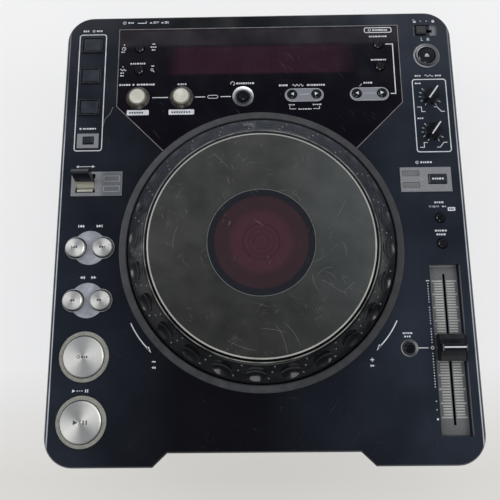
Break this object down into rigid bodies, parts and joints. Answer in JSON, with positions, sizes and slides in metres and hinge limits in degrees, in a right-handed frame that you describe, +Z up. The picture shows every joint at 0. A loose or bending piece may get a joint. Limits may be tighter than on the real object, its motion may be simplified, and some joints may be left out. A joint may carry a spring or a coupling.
{
  "type": "tabletop dj disc player",
  "caption": "Tabletop disc player with a large touch-sensitive jog wheel, a pitch slider, transport buttons and a front disc slot.",
  "frame": {"origin": "on the table, under the middle of the outer box", "axes": "+X to the user's right, +Y to the rear sockets, +Z up"},
  "size_m": [0.32, 0.37, 0.105],
  "materials": {
    "deck": "glossy navy black",
    "window": "smoked",
    "bezel": "matt grey",
    "case": "satin black",
    "back": "satin black",
    "rubber": "matt",
    "steel": "plain",
    "wheel": "black gloss",
    "touch": "scratched olive grey",
    "maroon": "dark red",
    "display": "dark",
    "grey": "grey",
    "ring": "turned",
    "board": "circuit board",
    "cream": "cream",
    "silver": "spun",
    "black": "satin black",
    "roller": "soft",
    "gear": "natural"
  },
  "bodies": {
    "case": {"top_panel": "deck", "display_window": "window", "jog_bezel": "bezel", "lower_case": "case", "front_panel": "back", "rear_panel": "back", "feet": "rubber", "case_screws": "steel", "jog_base": "case", "jog_bearing": "steel", "jog_display": "display", "accent_plates": "grey", "button_rings": "ring", "main_display": "display", "button_boards": "board", "main_board": "board", "power_supply": "board", "ac_inlet": "black", "rear_jacks": "steel", "drive_chassis": "steel", "spindle_motor": "steel"},
    "jog_wheel": {"jog_wheel": "wheel"},
    "jog_top": {"jog_plate": "touch", "jog_window": "maroon"},
    "time_mode_button": {"time_mode_button": "black"},
    "text_mode_button": {"text_mode_button": "black"},
    "memory_button": {"memory_button": "black"},
    "delete_button": {"delete_button": "black"},
    "wave_back": {"wave_back": "black"},
    "wave_forward": {"wave_forward": "black"},
    "call_back": {"call_back": "black"},
    "call_forward": {"call_forward": "black"},
    "tempo_range_button": {"tempo_range_button": "black"},
    "master_tempo_button": {"master_tempo_button": "black"},
    "tempo_reset_button": {"tempo_reset_button": "black"},
    "reloop_button": {"reloop_button": "black"},
    "loop_in_button": {"loop_in_button": "cream"},
    "loop_out_button": {"loop_out_button": "cream"},
    "track_search_back": {"track_search_back": "silver"},
    "track_search_forward": {"track_search_forward": "silver"},
    "search_back": {"search_back": "silver"},
    "search_forward": {"search_forward": "silver"},
    "eject_button": {"eject_button": "black"},
    "cue_button": {"cue_button": "silver"},
    "play_button": {"play_button": "silver"},
    "hot_cue_1": {"hot_cue_1": "black"},
    "hot_cue_2": {"hot_cue_2": "black"},
    "hot_cue_3": {"hot_cue_3": "black"},
    "rec_mode_button": {"rec_mode_button": "black"},
    "jog_mode_button": {"jog_mode_button": "black"},
    "direction_lever": {"direction_lever": "black"},
    "touch_speed_knob": {"touch_speed_knob": "black"},
    "release_speed_knob": {"release_speed_knob": "black"},
    "lock_slide": {"lock_slide": "black"},
    "tempo_slider": {"tempo_slider": "black"},
    "power_button": {"power_button": "black"},
    "loading_gear": {"loading_gear": "gear"},
    "feed_roller": {"feed_roller": "roller"},
    "turntable": {"turntable": "black"},
    "pickup_sled": {"pickup_sled": "black"}
  },
  "joints": [
    {"name": "jog_turn", "type": "hinge", "parent": "case", "child": "jog_wheel", "pos_m": [0, -0.0238, 0.09], "axis": [0, 0, 1], "continuous": true},
    {"name": "jog_press", "type": "slide", "parent": "jog_wheel", "child": "jog_top", "axis": [0, 0, -1], "range_m": [0, 0.0005], "stiffness_N_per_m": 6000},
    {"name": "time_mode_button_press", "type": "slide", "parent": "case", "child": "time_mode_button", "axis": [0, 0, -1], "range_m": [0, 0.0008], "stiffness_N_per_m": 400},
    {"name": "text_mode_button_press", "type": "slide", "parent": "case", "child": "text_mode_button", "axis": [0, 0, -1], "range_m": [0, 0.0008], "stiffness_N_per_m": 400},
    {"name": "memory_button_press", "type": "slide", "parent": "case", "child": "memory_button", "axis": [0, 0, -1], "range_m": [0, 0.0008], "stiffness_N_per_m": 400},
    {"name": "delete_button_press", "type": "slide", "parent": "case", "child": "delete_button", "axis": [0, 0, -1], "range_m": [0, 0.0008], "stiffness_N_per_m": 400},
    {"name": "wave_back_press", "type": "slide", "parent": "case", "child": "wave_back", "axis": [0, 0, -1], "range_m": [0, 0.0008], "stiffness_N_per_m": 400},
    {"name": "wave_forward_press", "type": "slide", "parent": "case", "child": "wave_forward", "axis": [0, 0, -1], "range_m": [0, 0.0008], "stiffness_N_per_m": 400},
    {"name": "call_back_press", "type": "slide", "parent": "case", "child": "call_back", "axis": [0, 0, -1], "range_m": [0, 0.0008], "stiffness_N_per_m": 400},
    {"name": "call_forward_press", "type": "slide", "parent": "case", "child": "call_forward", "axis": [0, 0, -1], "range_m": [0, 0.0008], "stiffness_N_per_m": 400},
    {"name": "tempo_range_button_press", "type": "slide", "parent": "case", "child": "tempo_range_button", "axis": [0, 0, -1], "range_m": [0, 0.0008], "stiffness_N_per_m": 400},
    {"name": "master_tempo_button_press", "type": "slide", "parent": "case", "child": "master_tempo_button", "axis": [0, 0, -1], "range_m": [0, 0.0008], "stiffness_N_per_m": 400},
    {"name": "tempo_reset_button_press", "type": "slide", "parent": "case", "child": "tempo_reset_button", "axis": [0, 0, -1], "range_m": [0, 0.0008], "stiffness_N_per_m": 400},
    {"name": "reloop_button_press", "type": "slide", "parent": "case", "child": "reloop_button", "axis": [0, 0, -1], "range_m": [0, 0.0008], "stiffness_N_per_m": 400},
    {"name": "loop_in_button_press", "type": "slide", "parent": "case", "child": "loop_in_button", "axis": [0, 0, -1], "range_m": [0, 0.0012], "stiffness_N_per_m": 400},
    {"name": "loop_out_button_press", "type": "slide", "parent": "case", "child": "loop_out_button", "axis": [0, 0, -1], "range_m": [0, 0.0012], "stiffness_N_per_m": 400},
    {"name": "track_search_back_press", "type": "slide", "parent": "case", "child": "track_search_back", "axis": [0, 0, -1], "range_m": [0, 0.001], "stiffness_N_per_m": 400},
    {"name": "track_search_forward_press", "type": "slide", "parent": "case", "child": "track_search_forward", "axis": [0, 0, -1], "range_m": [0, 0.001], "stiffness_N_per_m": 400},
    {"name": "search_back_press", "type": "slide", "parent": "case", "child": "search_back", "axis": [0, 0, -1], "range_m": [0, 0.001], "stiffness_N_per_m": 400},
    {"name": "search_forward_press", "type": "slide", "parent": "case", "child": "search_forward", "axis": [0, 0, -1], "range_m": [0, 0.001], "stiffness_N_per_m": 400},
    {"name": "eject_button_press", "type": "slide", "parent": "case", "child": "eject_button", "axis": [0, 0, -1], "range_m": [0, 0.001], "stiffness_N_per_m": 400},
    {"name": "cue_button_press", "type": "slide", "parent": "case", "child": "cue_button", "axis": [0, 0, -1], "range_m": [0, 0.0011], "stiffness_N_per_m": 400},
    {"name": "play_button_press", "type": "slide", "parent": "case", "child": "play_button", "axis": [0, 0, -1], "range_m": [0, 0.0011], "stiffness_N_per_m": 400},
    {"name": "hot_cue_1_press", "type": "slide", "parent": "case", "child": "hot_cue_1", "axis": [0, 0, -1], "range_m": [0, 0.0008], "stiffness_N_per_m": 400},
    {"name": "hot_cue_2_press", "type": "slide", "parent": "case", "child": "hot_cue_2", "axis": [0, 0, -1], "range_m": [0, 0.0008], "stiffness_N_per_m": 400},
    {"name": "hot_cue_3_press", "type": "slide", "parent": "case", "child": "hot_cue_3", "axis": [0, 0, -1], "range_m": [0, 0.0008], "stiffness_N_per_m": 400},
    {"name": "rec_mode_button_press", "type": "slide", "parent": "case", "child": "rec_mode_button", "axis": [0, 0, -1], "range_m": [0, 0.0008], "stiffness_N_per_m": 400},
    {"name": "jog_mode_button_press", "type": "slide", "parent": "case", "child": "jog_mode_button", "axis": [0, 0, -1], "range_m": [0, 0.0008], "stiffness_N_per_m": 400},
    {"name": "direction_lever_tilt", "type": "hinge", "parent": "case", "child": "direction_lever", "pos_m": [-0.13875, 0.028, 0.084], "axis": [1, 0, 0], "range_deg": [0, 40]},
    {"name": "touch_speed_knob_turn", "type": "hinge", "parent": "case", "child": "touch_speed_knob", "pos_m": [0.1395, 0.0985, 0.088], "axis": [0, 0, 1], "range_deg": [-114, 186]},
    {"name": "release_speed_knob_turn", "type": "hinge", "parent": "case", "child": "release_speed_knob", "pos_m": [0.1395, 0.068, 0.088], "axis": [0, 0, 1], "range_deg": [-114, 186]},
    {"name": "lock_slide_travel", "type": "slide", "parent": "case", "child": "lock_slide", "axis": [1, 0, 0], "range_m": [0, 0.005]},
    {"name": "tempo_slider_travel", "type": "slide", "parent": "case", "child": "tempo_slider", "axis": [0, 1, 0], "range_m": [-0.05, 0.05]},
    {"name": "power_button_press", "type": "slide", "parent": "case", "child": "power_button", "axis": [0, -1, 0], "range_m": [0, 0.0025], "stiffness_N_per_m": 600},
    {"name": "loading_gear_turn", "type": "hinge", "parent": "case", "child": "loading_gear", "pos_m": [0.079, -0.1289, 0.0478], "axis": [1, 0, 0], "continuous": true},
    {"name": "feed_roller_turn", "type": "hinge", "parent": "case", "child": "feed_roller", "pos_m": [0, -0.15, 0.0478], "axis": [1, 0, 0], "continuous": true},
    {"name": "turntable_turn", "type": "hinge", "parent": "case", "child": "turntable", "pos_m": [0, -0.095, 0.04], "axis": [0, 0, 1], "continuous": true},
    {"name": "pickup_sled_travel", "type": "slide", "parent": "case", "child": "pickup_sled", "axis": [0, 1, 0], "range_m": [0, 0.025]}
  ],
  "couplings": [
    {"joint": "feed_roller_turn", "follows": "loading_gear_turn", "ratio": -2}
  ]
}
